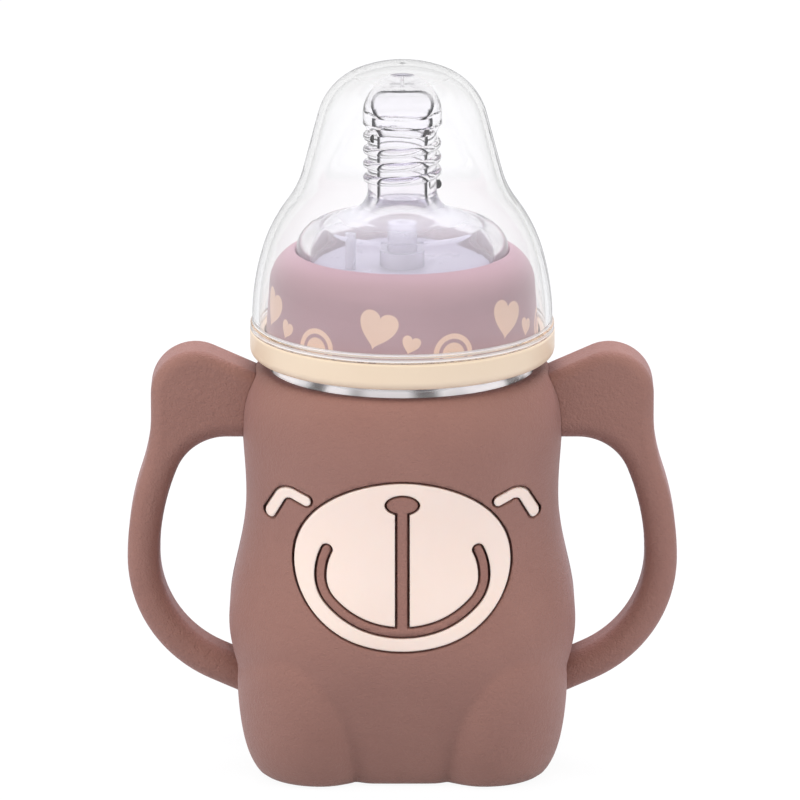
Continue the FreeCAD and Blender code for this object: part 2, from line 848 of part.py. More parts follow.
def nipple():
    flange_radius = collar_bore - d.flange_gap
    bell_edge = bell_radius - d.bell_reach
    cone_edge = bell_radius - d.cone_reach
    cone_top = bell_top + d.nipple_wall
    inner_skirt = skirt_top - d.nipple_wall
    inner_teat = d.teat_radius - d.nipple_wall
    inner_head = head_radius - d.nipple_wall
    inner_top = head_top - d.dimple_depth - d.nipple_wall / 2
    body = revolved("nipple", [
        start(plug_radius, neck_top),
        line(flange_radius, neck_top),
        line(flange_radius, lip_level),
        line(groove_radius, lip_level),
        line(groove_radius, bell_foot),
        line(bell_radius, bell_foot),
        line(bell_radius, skirt_top),
        smooth(bell_edge, bell_top),
        line(cone_edge, cone_top),
        smooth(d.teat_radius, teat_foot),
        line(d.teat_radius, teat_top),
        line(head_radius, head_foot),
        line(head_radius, head_foot + d.head_straight),
        smooth(d.dimple_radius, head_top),
        line(d.outlet_radius, head_top - d.dimple_depth),
        line(d.outlet_radius, inner_top),
        line(d.dimple_radius, inner_top),
        smooth(inner_head, head_foot + d.head_straight),
        line(inner_head, head_foot),
        line(inner_teat, teat_top),
        line(inner_teat, teat_foot),
        smooth(cone_edge - d.nipple_wall / 2, cone_top - d.nipple_wall),
        line(bell_edge - d.nipple_wall / 2, bell_top - d.nipple_wall),
        smooth(plug_radius, inner_skirt),
        line(plug_radius, neck_top),
    ])
    sketch = sketch_on(body, "spiral_section", "XZ_Plane")
    level = teat_foot + d.spiral_start
    draw(sketch, [
        start(d.teat_radius, level - d.spiral_ridge),
        arc(d.teat_radius + d.spiral_ridge, level, d.spiral_ridge, 1),
        smooth(d.teat_radius, level + d.spiral_ridge),
        smooth(d.teat_radius - d.spiral_ridge, level),
        smooth(d.teat_radius, level - d.spiral_ridge),
    ])
    doc.recompute()
    wind(body, "spiral_ridge_winding", sketch, d.spiral_pitch, d.spiral_turns)


nipple()


# Straw: adapter under the nipple, tube in its socket, weighted inlet on the tube
plug_top = neck_top + d.plug_height
socket_top = neck_top - d.plug_rim
socket_foot = socket_top - d.socket_depth
tube_top = socket_top
tube_foot = tube_top - d.tube_length
socket_radius = d.tube_radius + d.tube_fit


def straw_adapter():
    plug = plug_radius - d.plug_gap
    rim = mouth_radius - d.rim_gap
    boss = socket_radius + d.socket_wall
    spigot_top = plug_top + d.spigot_height
    body = revolved("adapter_body", [
        start(socket_radius, socket_foot),
        line(boss, socket_foot),
        line(boss, socket_top),
        line(rim, socket_top),
        line(rim, neck_top),
        line(plug, neck_top),
        line(plug, plug_top),
        line(d.spigot_radius, plug_top),
        line(d.spigot_radius, spigot_top),
        line(d.tip_radius, spigot_top),
        line(d.tip_radius, spigot_top + d.tip_height),
        line(d.tube_bore, spigot_top + d.tip_height),
        line(d.tube_bore, socket_top),
        line(socket_radius, socket_top),
        line(socket_radius, socket_foot),
    ])
    duct = rod("vent_duct", d.duct_radius, d.duct_height, -d.duct_across, -d.duct_forward, plug_top)
    vent_length = d.duct_height + d.plug_height + d.plug_rim
    vent = rod("vent_bore", d.duct_bore, vent_length, -d.duct_across, -d.duct_forward, socket_top)
    ducted = fused("ducted_adapter", [body, duct])
    boolean("Cut", "straw_adapter", ducted, vent)


def straw_tube():
    revolved("straw_tube", [
        start(d.tube_bore, tube_foot),
        line(d.tube_radius, tube_foot),
        line(d.tube_radius, tube_top),
        line(d.tube_bore, tube_top),
        line(d.tube_bore, tube_foot),
    ])


def weight():
    cap_foot = tube_foot - d.weight_cap_height
    band_foot = cap_foot - d.weight_band
    base_foot = band_foot - d.weight_base_height
    nozzle = d.tube_bore - d.tube_fit
    core = d.weight_core - d.tube_fit
    half_band = d.weight_band / 2
    passage = d.tube_bore / 2
    draw_in = d.weight_radius - d.weight_neck_radius
    crown = (draw_in * draw_in + d.weight_cap_height * d.weight_cap_height) / (2 * draw_in)
    revolved("weight_cap", [
        start(passage, band_foot + half_band),
        line(core, band_foot + half_band),
        line(core, cap_foot),
        line(d.weight_radius, cap_foot),
        arc(d.weight_neck_radius, tube_foot, crown, 1),
        line(nozzle, tube_foot),
        line(nozzle, tube_foot + d.weight_nozzle),
        line(passage, tube_foot + d.weight_nozzle),
        line(passage, band_foot + half_band),
    ])
    revolved("weight_ring", [
        start(d.weight_core, band_foot),
        line(d.weight_radius, band_foot),
        line(d.weight_radius, cap_foot),
        line(d.weight_core, cap_foot),
        line(d.weight_core, band_foot),
    ])
    revolved("weight_base", [
        start(passage, base_foot),
        line(d.weight_radius - d.weight_edge, base_foot),
        smooth(d.weight_radius, base_foot + d.weight_edge),
        line(d.weight_radius, band_foot),
        line(core, band_foot),
        line(core, band_foot + half_band),
        line(passage, band_foot + half_band),
        line(passage, base_foot),
    ])


straw_adapter()
straw_tube()
weight()


# Dome cap: a bell of smooth arcs, hollowed by the same bell one wall further in
def bell(label, radius, lip, inset):
    """A bell on the trim ring; its corners move in square to the bell's side by the inset."""
    top = head_top + d.dome_headroom + d.dome_wall
    lip_top_level = ring_top + d.dome_lip_height
    corners = [
        (radius - d.dome_belly_inset, ring_top + d.dome_belly_rise),
        (radius - d.dome_waist_inset, top - d.dome_waist_drop),
        (radius - d.dome_neck_inset, top - d.dome_neck_drop),
        (radius - d.dome_crown_inset, top - d.dome_crown_drop),
        (radius - d.dome_top_inset, top - d.dome_top_drop),
    ]
    wall_foot = lip_top_level + d.dome_lip
    heading = math.pi / 2
    before = (radius, wall_foot + d.dome_lip)
    moved = []
    for across, up in corners:
        chord = math.atan2((up - before[1]).value, (across - before[0]).value)
        heading = 2 * chord - heading
        moved.append((across - inset * math.sin(heading), up + inset * math.cos(heading)))
        before = (across, up)
    cap_across = moved[-1][0]
    cap_rise = top - inset - moved[-1][1]
    cap_radius = (cap_across * cap_across + cap_rise * cap_rise) / (2 * cap_rise)
    return revolved(label, [
        start(0, ring_top),
        line(radius + lip - inset, ring_top),
        line(radius + lip - inset, lip_top_level),
        line(radius - inset, wall_foot),
        line(radius - inset, wall_foot + d.dome_lip),
        *(smooth(*corner) for corner in moved),
        arc(0, top - inset, cap_radius, 1),
        line(0, ring_top),
    ])


def dome_cap():
    radius = ring_radius - d.dome_setback
    outside = bell("dome_outside", radius, d.dome_lip, ZERO)
    inside = bell("dome_inside", radius, ZERO, d.dome_wall)
    boolean("Cut", "dome_cap", outside, inside)


dome_cap()

NODES = (
    "silicone_sleeve", "left_handle", "right_handle", "muzzle_inlay", "left_eye_inlay",
    "right_eye_inlay", "glass_bottle", "screw_ring", "trim_ring", "nipple", "straw_adapter",
    "straw_tube", "weight_cap", "weight_ring", "weight_base", "dome_cap",
)

doc.recompute()
for thing in doc.Objects:
    broken = {"Invalid", "Error"} & set(thing.State)
    if broken:
        raise RuntimeError(f"{thing.Label} is {', '.join(broken)}")
os.makedirs("parts", exist_ok=True)
for node in NODES:
    shape = doc.getObjectsByLabel(node)[0].Shape
    if shape.isNull() or not shape.isValid():
        raise RuntimeError(f"{node} has no valid shape")
    shape.exportStep(f"parts/{node}.step")
    box = shape.BoundBox
    print(f"{node}: {len(shape.Solids)} solid, {shape.Volume:.0f} mm3, "
          f"{box.XLength:.1f} x {box.YLength:.1f} x {box.ZLength:.1f}, from z {box.ZMin:.2f}")
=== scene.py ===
# %% [markdown]
# # A baby bottle in a bear sleeve
# The bottle is glass, in a brown silicone sleeve with two handles. A mauve collar holds a clear
# nipple on its neck, a cream ring trims the collar, and a clear dome keeps the nipple clean.
# Every solid has been built already. Here the pieces get the shapes and finishes that the
# eye looks for, in metres, in the frame of those solids.

# %% The solids that everything is built on
import bmesh
import bpy
import math
from mathutils import Matrix, Vector
from mathutils.bvhtree import BVHTree


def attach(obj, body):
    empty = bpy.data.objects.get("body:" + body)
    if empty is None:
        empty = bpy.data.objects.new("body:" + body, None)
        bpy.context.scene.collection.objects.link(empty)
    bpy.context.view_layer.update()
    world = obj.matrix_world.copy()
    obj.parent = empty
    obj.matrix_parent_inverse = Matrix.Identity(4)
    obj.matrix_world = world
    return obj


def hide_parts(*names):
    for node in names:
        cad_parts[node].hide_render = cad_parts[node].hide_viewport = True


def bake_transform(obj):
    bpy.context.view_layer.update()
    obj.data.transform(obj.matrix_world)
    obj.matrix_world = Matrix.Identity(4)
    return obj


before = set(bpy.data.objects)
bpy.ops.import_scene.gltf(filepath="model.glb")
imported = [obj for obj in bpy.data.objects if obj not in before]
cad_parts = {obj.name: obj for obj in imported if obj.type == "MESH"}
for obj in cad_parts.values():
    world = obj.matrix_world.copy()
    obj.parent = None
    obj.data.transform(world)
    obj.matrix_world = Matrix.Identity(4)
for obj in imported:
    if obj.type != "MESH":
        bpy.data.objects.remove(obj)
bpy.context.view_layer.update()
MM = 0.001

# %% [markdown]
# ## Camera
# The picture was taken from a little above, from so far away that upright edges stay parallel. A short
# lens close by would make the muzzle bulge. A long lens from further off keeps the proportions, so the
# width of the view at the bottle sets the distance.

# %% A long lens that looks down at the face
VIEW_ELEVATION = math.radians(15)
VIEW_WIDTH = 173.7 * MM
VIEW_MIDDLE = Vector((-0.5, 0, 79.3)) * MM
LENS = 400
SENSOR = 36

camera_data = bpy.data.cameras.new("camera")
camera_data.lens = LENS
camera_data.sensor_width = SENSOR
camera = bpy.data.objects.new("camera", camera_data)
bpy.context.collection.objects.link(camera)
towards_camera = Vector((0, -math.cos(VIEW_ELEVATION), math.sin(VIEW_ELEVATION)))
camera.location = VIEW_MIDDLE + towards_camera * VIEW_WIDTH * LENS / SENSOR
camera.rotation_euler = (math.pi / 2 - VIEW_ELEVATION, 0, 0)
bpy.context.scene.camera = camera
bpy.context.scene.view_settings.view_transform = "Standard"
print("camera stands", round(camera.location.length, 3), "m away")

# %% [markdown]
# ## Straw
# A soft silicone tube hangs from its socket under the nipple, and a weighted inlet keeps its end in
# the milk. A straight cylinder would look like a rod, because a tube off a reel keeps a slight bend.
# So the tube follows a smooth spline through a few points, and a ring of edges is drawn along it.


# %% A mesh becomes a piece
def make_piece(mesh, name, body=None):
    """Turn a bmesh into an object at the origin, which rides on a body if one is named."""
    data = bpy.data.meshes.new(name)
    mesh.to_mesh(data)
    mesh.free()
    piece = bpy.data.objects.new(name, data)
    bpy.context.collection.objects.link(piece)
    for polygon in data.polygons:
        polygon.use_smooth = True
    if body:
        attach(piece, body)
    print(name, len(data.polygons), "faces")
    return piece


# %% The line that the straw follows
STRAW_ROUTE = [
    (0, 0, 104.4), (0, 0, 96.0), (1.3, 0.4, 79.0), (-1.2, -0.3, 56.0), (0, 0, 41.0), (0, 0, 32.4),
]
ROUTE_STEPS = 8


def spline_points(name, route):
    """Points along a smooth spline whose control points are the route's."""
    curve = bpy.data.curves.new(name, "CURVE")
    curve.dimensions = "3D"
    spline = curve.splines.new("NURBS")
    spline.points.add(len(route) - 1)
    for point, place in zip(spline.points, route):
        point.co = (*(Vector(place) * MM), 1)
    spline.order_u = 3
    spline.use_endpoint_u = True
    spline.resolution_u = ROUTE_STEPS
    holder = bpy.data.objects.new(name, curve)
    mesh = bpy.data.meshes.new_from_object(holder)
    points = [vertex.co.copy() for vertex in mesh.vertices]
    bpy.data.objects.remove(holder)
    print(name, len(points), "points")
    return points


# %% The straw's tube
STRAW_RADIUS = 2.5 * MM
STRAW_WALL = 1.0 * MM
STRAW_SIDES = 40


def make_straw():
    """A hollow tube along the route, which bends from its socket down to where it hangs free."""
    points = spline_points("straw_route", STRAW_ROUTE)
    mesh = bmesh.new()
    bmesh.ops.create_circle(
        mesh, segments=STRAW_SIDES, radius=STRAW_RADIUS, matrix=Matrix.Translation(points[0]))
    edges = list(mesh.edges)
    for before, after in zip(points, points[1:]):
        grown = bmesh.ops.extrude_edge_only(mesh, edges=edges)["geom"]
        edges = [item for item in grown if isinstance(item, bmesh.types.BMEdge)]
        verts = [item for item in grown if isinstance(item, bmesh.types.BMVert)]
        bmesh.ops.translate(mesh, verts=verts, vec=after - before)
        edges = [edge for edge in edges if all(vert in verts for vert in edge.verts)]
    bmesh.ops.recalc_face_normals(mesh, faces=mesh.faces)
    bmesh.ops.solidify(mesh, geom=mesh.faces[:], thickness=STRAW_WALL)
    straw = make_piece(mesh, "straw_hose")
    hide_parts("straw_tube")
    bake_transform(straw)
    return straw


straw = make_straw()

# %% [markdown]
# ## Finishes
# A finish is a small network of nodes. Wiring each node by hand hides what is meant, so a socket is
# wrapped in a class that knows arithmetic: `1 - mask` adds the Math node that works it out. All other
# nodes come from one method, which takes the node's type, its settings and what goes into its sockets.


# %% Sums on sockets
class Value:
    """An output socket that takes part in Python sums; every sum adds a Math node."""

    def __init__(self, finish, socket):
        self.finish = finish
        self.socket = socket

    def sum_up(self, operation, *terms):
        return self.finish.add("ShaderNodeMath", {"operation": operation}, dict(enumerate(terms)))

    def __add__(self, other):
        return self.sum_up("ADD", self, other)

    def __radd__(self, other):
        return self.sum_up("ADD", other, self)

    def __sub__(self, other):
        return self.sum_up("SUBTRACT", self, other)

    def __rsub__(self, other):
        return self.sum_up("SUBTRACT", other, self)

    def __mul__(self, other):
        return self.sum_up("MULTIPLY", self, other)

    def __rmul__(self, other):
        return self.sum_up("MULTIPLY", other, self)

    def __truediv__(self, other):
        return self.sum_up("DIVIDE", self, other)

    def __pow__(self, other):
        return self.sum_up("POWER", self, other)

    def __abs__(self):
        return self.sum_up("ABSOLUTE", self)

    def larger(self, other):
        return self.sum_up("MAXIMUM", self, other)

    def smaller(self, other):
        return self.sum_up("MINIMUM", self, other)

    def below(self, edge, softness):
        """1 where the value lies well below the edge, 0 above it, with a soft step between."""
        sockets = {
            "Value": self, "From Min": edge - softness, "From Max": edge + softness,
            "To Min": 1.0, "To Max": 0.0}
        return self.finish.add("ShaderNodeMapRange", {"interpolation_type": "SMOOTHSTEP"}, sockets)


# %% One material and its nodes
BEVEL_SAMPLES = 6


class Finish:
    """A material whose nodes are added one by one and end in one shader."""

    def __init__(self, name):
        self.material = bpy.data.materials.new(name)
        self.material.use_nodes = True
        self.tree = self.material.node_tree
        self.tree.nodes.clear()
        self.output = self.tree.nodes.new("ShaderNodeOutputMaterial")

    def add(self, kind, settings=None, sockets=None, out=0):
        """Add a node: its settings first, then its sockets by name or number. Returns one output."""
        node = self.tree.nodes.new(kind)
        for name, value in (settings or {}).items():
            setattr(node, name, value)
        for name, value in (sockets or {}).items():
            if isinstance(value, Value):
                self.tree.links.new(value.socket, node.inputs[name])
            else:
                node.inputs[name].default_value = value
        return Value(self, node.outputs[out])

    def beside(self, value, out):
        """Another output of the node that gives a value."""
        return Value(self, value.socket.node.outputs[out])

    def place(self):
        """Where a point of the piece lies, in metres."""
        return self.add("ShaderNodeTexCoord", out="Object")

    def parts(self, vector):
        """The three parts of a vector."""
        across = self.add("ShaderNodeSeparateXYZ", None, {"Vector": vector}, out="X")
        return across, self.beside(across, "Y"), self.beside(across, "Z")

    def noise(self, vector, size, detail=2.0, roughness=0.5):
        """Soft cloudy noise between 0 and 1 whose blotches are about one size across, in metres."""
        sockets = {"Vector": vector, "Scale": 1 / size, "Detail": detail, "Roughness": roughness}
        return self.add("ShaderNodeTexNoise", None, sockets, out="Fac")

    def mix(self, share, first, second):
        """A colour between two colours."""
        sockets = {"Factor": share, 6: first, 7: second}
        return self.add("ShaderNodeMix", {"data_type": "RGBA"}, sockets, out=2)

    def mix_shaders(self, share, first, second):
        """A shader between two shaders."""
        return self.add("ShaderNodeMixShader", None, {0: share, 1: first, 2: second})

    def bump(self, height, depth, strength=1.0, soft_edge=0.0):
        """A surface raised by a height between 0 and 1 times a depth, with its edges eased, in metres."""
        sockets = {"Height": height, "Distance": depth, "Strength": strength}
        if soft_edge:
            bevel = {"samples": BEVEL_SAMPLES}
            sockets["Normal"] = self.add("ShaderNodeBevel", bevel, {"Radius": soft_edge})
        return self.add("ShaderNodeBump", None, sockets, out="Normal")

    def principled(self, **sockets):
        """One Principled shader; words in the sockets' names are joined by underscores."""
        named = {name.replace("_", " "): value for name, value in sockets.items()}
        return self.add("ShaderNodeBsdfPrincipled", None, named)

    def end(self, shader):
        self.tree.links.new(shader.socket, self.output.inputs["Surface"])
        return self.material


# %% Colours, and a finish for a solid
def colour(red, green, blue):
    """A colour as it is read off a screen, made linear by the screen's own curve for a shader."""
    linear = [(part / 255 + 0.055) / 1.055 for part in (red, green, blue)]
    return (*(part ** 2.4 for part in linear), 1)


def dress(node, material):
    """Give a solid that keeps its shape a better finish."""
    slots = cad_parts[node].data.materials
    slots.clear()
    slots.append(material)
    print(node, "wears", material.name)


# %% [markdown]
# ## Brown silicone
# The sleeve and the handles are matt silicone. Under a close look it has a fine leathery skin, and its
# brown isn't quite even. A flat colour would look like paint, so two browns are mixed in soft clouds,
# a darker speck follows the grain, and grain and pores raise the surface. A little lilac sheen stands
# for the bloom on silicone that is seen edge on.


# %% Brown silicone
def brown_silicone():
    finish = Finish("brown_silicone_skin")
    place = finish.place()
    cloud = finish.noise(place, size=9 * MM, detail=3)
    grain = finish.noise(place, size=0.42 * MM, detail=2)
    pores = finish.noise(place, size=1.1 * MM, detail=4, roughness=0.65)
    tone = finish.mix(cloud, colour(149, 107, 96), colour(159, 117, 105))
    speckled = finish.mix(grain * 0.5, tone, colour(136, 97, 87))
    return finish.end(finish.principled(
        Base_Color=speckled,
        Roughness=0.5 + 0.14 * pores,
        Specular_IOR_Level=0.42,
        Sheen_Weight=0.12,
        Sheen_Roughness=0.45,
        Sheen_Tint=colour(214, 206, 226),
        Normal=finish.bump(grain * 0.4 + pores * 0.6, depth=0.4 * MM, soft_edge=0.3 * MM)))


silicone = brown_silicone()
for node in ("left_handle", "right_handle"):
    dress(node, silicone)

# %% [markdown]
# ## Sleeve
# The sleeve is one soft moulding: a rounded square at the foot, round at the rim, with two thighs that
# swell out at the front and the bed of the face let into it. A turned wall is dense and even, so it is
# spun first and then moved out to the moulded form. The back of the solid has no face, so its radius
# is read there for both sides.


# %% A wall turned round the upright axis
MERGE_DISTANCE = 1e-7


def turned(profile, steps):
    """Spin a line of (radius, height) points in millimetres round the upright axis."""
    mesh = bmesh.new()
    verts = [mesh.verts.new((radius * MM, 0, height * MM)) for radius, height in profile]
    edges = [mesh.edges.new(pair) for pair in zip(verts, verts[1:])]
    bmesh.ops.spin(
        mesh, geom=verts + edges, cent=(0, 0, 0), axis=(0, 0, 1), angle=math.tau, steps=steps,
        use_merge=True)
    bmesh.ops.remove_doubles(mesh, verts=mesh.verts, dist=MERGE_DISTANCE)
    bmesh.ops.recalc_face_normals(mesh, faces=mesh.faces)
    return mesh


# %% How far the thighs swell
THIGH_MIDDLE = 26.0 * MM
THIGH_HALF_WIDTH = 15.3 * MM
THIGH_HEIGHT = 29.0 * MM
THIGH_SWELL = 3.9 * MM
THIGH_FRONT = 16.0 * MM
THIGH_FULLNESS = 0.6
THIGH_TAPER = 0.3
CREASE_DEPTH = 1.3 * MM
CREASE_SHARE = 0.16
CREASE_HEIGHT = 24.0 * MM


def ease(share):
    """A soft step from 0 to 1."""
    share = max(0.0, min(1.0, share))
    return share * share * (3 - 2 * share)


def thigh_swell(across, forward, level):
    """How far a thigh stands out of the wall at one point, less the crease on its inner side."""
    spread = (abs(across) - THIGH_MIDDLE) / THIGH_HALF_WIDTH
    rise = level / THIGH_HEIGHT
    front = ease(-forward / THIGH_FRONT)
    reach = math.hypot(spread, rise)
    swell = THIGH_SWELL * max(0.0, 1 - reach ** 2) ** (THIGH_FULLNESS + THIGH_TAPER * rise ** 2)
    crease = 0.0
    if abs(across) < THIGH_MIDDLE:
        fade = max(0.0, 1 - level / CREASE_HEIGHT)
        crease = CREASE_DEPTH * math.exp(-((reach - 1) / CREASE_SHARE) ** 2) * fade
    return front * (swell - crease)


# %% Beds for the face
GROOVE = 0.55 * MM
COPY_MERGE_DISTANCE = 1e-6
FACE = ("muzzle_inlay", "left_eye_inlay", "right_eye_inlay")


def grown_copy(node, margin):
    """A copy of a solid, grown on all sides, to cut its bed with."""
    mesh = bmesh.new()
    mesh.from_mesh(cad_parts[node].data)
    bmesh.ops.remove_doubles(mesh, verts=mesh.verts, dist=COPY_MERGE_DISTANCE)
    bmesh.ops.recalc_face_normals(mesh, faces=mesh.faces)
    mesh.normal_update()
    moves = [(vert, vert.normal * margin * vert.calc_shell_factor()) for vert in mesh.verts]
    for vert, move in moves:
        vert.co += move
    return make_piece(mesh, node + "_bed")


def cut(piece, cutters):
    """Take the cutters out of a piece for good."""
    for cutter in cutters:
        modifier = piece.modifiers.new(cutter.name, "BOOLEAN")
        modifier.operation = "DIFFERENCE"
        modifier.solver = "EXACT"
        modifier.object = cutter
    depsgraph = bpy.context.evaluated_depsgraph_get()
    cut_mesh = bpy.data.meshes.new_from_object(piece.evaluated_get(depsgraph))
    piece.modifiers.clear()
    piece.data = cut_mesh
    for cutter in cutters:
        bpy.data.objects.remove(cutter)


# %% The sleeve's line, in millimetres
BORE_RADIUS = 28.7
FLOOR_LEVEL = 3.5
RIM_LEVEL = 87.5
RIM_LAND = 1.4
RIM_BEVEL = 0.4
RECESS_RADIUS = 18.0
RECESS_DEPTH = 1.0
RECESS_SLOPE = 0.8
FOOT_LEVELS = [0.02, 0.35, 0.9, 1.7, 2.6, 3.4]
WALL_STEP = 1.1
FAR = 60.0
FAR_EDGE = 59.0


def sleeve_profile():
    """From the recess under the base, up a wall that is still far out, over the rim and down the bore."""
    levels = list(FOOT_LEVELS)
    while levels[-1] + WALL_STEP < RIM_LEVEL:
        levels.append(levels[-1] + WALL_STEP)
    recess = [(0, RECESS_DEPTH), (RECESS_RADIUS - RECESS_SLOPE, RECESS_DEPTH), (RECESS_RADIUS, 0)]
    wall = [(FAR, level) for level in levels]
    rim = [(BORE_RADIUS + RIM_LAND, RIM_LEVEL), (BORE_RADIUS + RIM_BEVEL, RIM_LEVEL)]
    bore = [(BORE_RADIUS, RIM_LEVEL - RIM_BEVEL), (BORE_RADIUS, FLOOR_LEVEL), (0, FLOOR_LEVEL)]
    return recess + wall + rim + bore


# %% The sleeve
SLEEVE_STEPS = 360
RAY_START = 100 * MM
SHARP_ANGLE = math.radians(35)


def make_sleeve():
    """The turned wall, moved in to the moulded form and out over the thighs, with the face's beds cut."""
    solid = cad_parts["silicone_sleeve"]
    tree = BVHTree.FromObject(solid, bpy.context.evaluated_depsgraph_get())
    mesh = turned(sleeve_profile(), SLEEVE_STEPS)
    for vert in mesh.verts:
        out = Vector((vert.co.x, vert.co.y, 0))
        if out.length < FAR_EDGE * MM:
            continue
        out.normalize()
        level = vert.co.z
        back = Vector((out.x, abs(out.y), 0))
        hit = tree.ray_cast(back * RAY_START + Vector((0, 0, level)), -back)[0]
        wall = out * hit.xy.length
        vert.co = wall + out * thigh_swell(wall.x, wall.y, level)
        vert.co.z = level
    bmesh.ops.recalc_face_normals(mesh, faces=mesh.faces)
    sleeve = make_piece(mesh, "sleeve", "sleeve")
    cut(sleeve, [grown_copy(node, GROOVE) for node in FACE])
    sleeve.data.set_sharp_from_angle(angle=SHARP_ANGLE)
    sleeve.data.materials.append(silicone)
    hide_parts("silicone_sleeve")
    print("sleeve has", len(sleeve.data.polygons), "faces after its beds are cut")


make_sleeve()

# %% [markdown]
# ## Face
# The muzzle and the eyes are cream silicone, let into the sleeve. Their solids have the right shape, so
# they keep it and only get a finish. Pale silicone lets a little light in, so a small share of it
# scatters under the surface, and the edges are eased in the shading as a mould would ease them.


# %% Cream silicone
def cream_silicone():
    finish = Finish("cream_silicone_skin")
    place = finish.place()
    cloud = finish.noise(place, size=12 * MM, detail=3)
    grain = finish.noise(place, size=0.5 * MM, detail=2)
    return finish.end(finish.principled(
        Base_Color=finish.mix(cloud, colour(246, 224, 209), colour(247, 228, 217)),
        Roughness=0.46 + 0.12 * grain,
        Subsurface_Weight=0.15,
        Subsurface_Radius=(1.2 * MM, 0.7 * MM, 0.5 * MM),
        Subsurface_Scale=1.0,
        Normal=finish.bump(grain, depth=0.04 * MM, strength=0.4, soft_edge=0.55 * MM)))


cream = cream_silicone()
for node in FACE:
    dress(node, cream)

# %% [markdown]
# ## Trim ring
# The cream ring round the collar's foot is hard plastic, smoother than the silicone. It needs a gloss
# that wanders a little, or it would look like a drawing, so soft clouds change its tone and roughness.


# %% Cream plastic
def cream_plastic():
    finish = Finish("cream_ring_plastic")
    place = finish.place()
    cloud = finish.noise(place, size=14 * MM, detail=3)
    grain = finish.noise(place, size=0.3 * MM, detail=2)
    return finish.end(finish.principled(
        Base_Color=finish.mix(cloud, colour(234, 212, 184), colour(238, 218, 192)),
        Roughness=0.3 + 0.08 * cloud,
        Normal=finish.bump(grain, depth=0.012 * MM, strength=0.5)))


dress("trim_ring", cream_plastic())

# %% [markdown]
# ## Collar
# The mauve collar has small prints round its wall. A picture would be blurred close up, so each print
# is a formula: how far along the wall and how far up a point lies says whether it is inside a heart or
# an arch. The way along is wrapped, so the same group comes back all the way round.

# %% Hearts and arches
HEART_NOTCH = 0.8
HEART_HEIGHT = 0.82
HEART_EDGE = 0.08
ARCH_INNER = 0.74
ARCH_DISC = 0.56
ARCH_EDGE = 0.03


def heart(along, up, middle, size, lean):
    """1 inside a leaning heart, 0 outside it; places and the half width are in metres."""
    beside = along - middle[0]
    above = up - middle[1]
    u = (beside * math.cos(lean) + above * math.sin(lean)) / size
    v = (above * math.cos(lean) - beside * math.sin(lean)) / (size * HEART_HEIGHT)
    lobe = v - HEART_NOTCH * abs(u) ** 0.5
    return (u * u + lobe * lobe).below(1.0, HEART_EDGE)


def arch(along, up, middle, size):
    """1 on an arch and on the disc under it, 0 in the gap between them and outside."""
    beside = along - middle[0]
    above = up - middle[1]
    reach = (beside * beside + above * above) ** 0.5 / size
    band = reach.below(1.0, ARCH_EDGE) - reach.below(ARCH_INNER, ARCH_EDGE)
    return band + reach.below(ARCH_DISC, ARCH_EDGE)


# %% Mauve plastic with its print
PRINT_RADIUS = 29.2 * MM
PRINT_PERIOD = math.radians(60) * PRINT_RADIUS
PRINT_TOP = 107.6 * MM
LARGE_HEART = (-5.6 * MM, 101.4 * MM)
LARGE_HEART_SIZE = 4.2 * MM
LARGE_HEART_LEAN = math.radians(-14)
SMALL_HEART = (1.6 * MM, 98.8 * MM)
SMALL_HEART_SIZE = 2.0 * MM
SMALL_HEART_LEAN = math.radians(-18)
ARCH_MIDDLE = (11.0 * MM, 96.9 * MM)
ARCH_SIZE = 4.4 * MM


def mauve_plastic():
    finish = Finish("mauve_collar_plastic")
    place = finish.place()
    across, forward, up = finish.parts(place)
    cloud = finish.noise(place, size=10 * MM, detail=3)
    grain = finish.noise(place, size=0.25 * MM, detail=2)
    tone = finish.mix(cloud, colour(189, 155, 162), colour(196, 163, 170))
    angle = across.sum_up("ARCTAN2", across, -1 * forward)
    along = angle.sum_up("WRAP", angle * PRINT_RADIUS, PRINT_PERIOD / 2, -PRINT_PERIOD / 2)
    shapes = heart(along, up, LARGE_HEART, LARGE_HEART_SIZE, LARGE_HEART_LEAN)
    shapes = shapes + heart(along, up, SMALL_HEART, SMALL_HEART_SIZE, SMALL_HEART_LEAN)
    shapes = shapes + arch(along, up, ARCH_MIDDLE, ARCH_SIZE)
    outer_wall = up.below(PRINT_TOP, 0.3 * MM)
    return finish.end(finish.principled(
        Base_Color=finish.mix(shapes.smaller(1.0) * outer_wall, tone, colour(250, 217, 197)),
        Roughness=0.42 + 0.1 * grain,
        Normal=finish.bump(grain, depth=0.015 * MM, strength=0.5)))


dress("screw_ring", mauve_plastic())
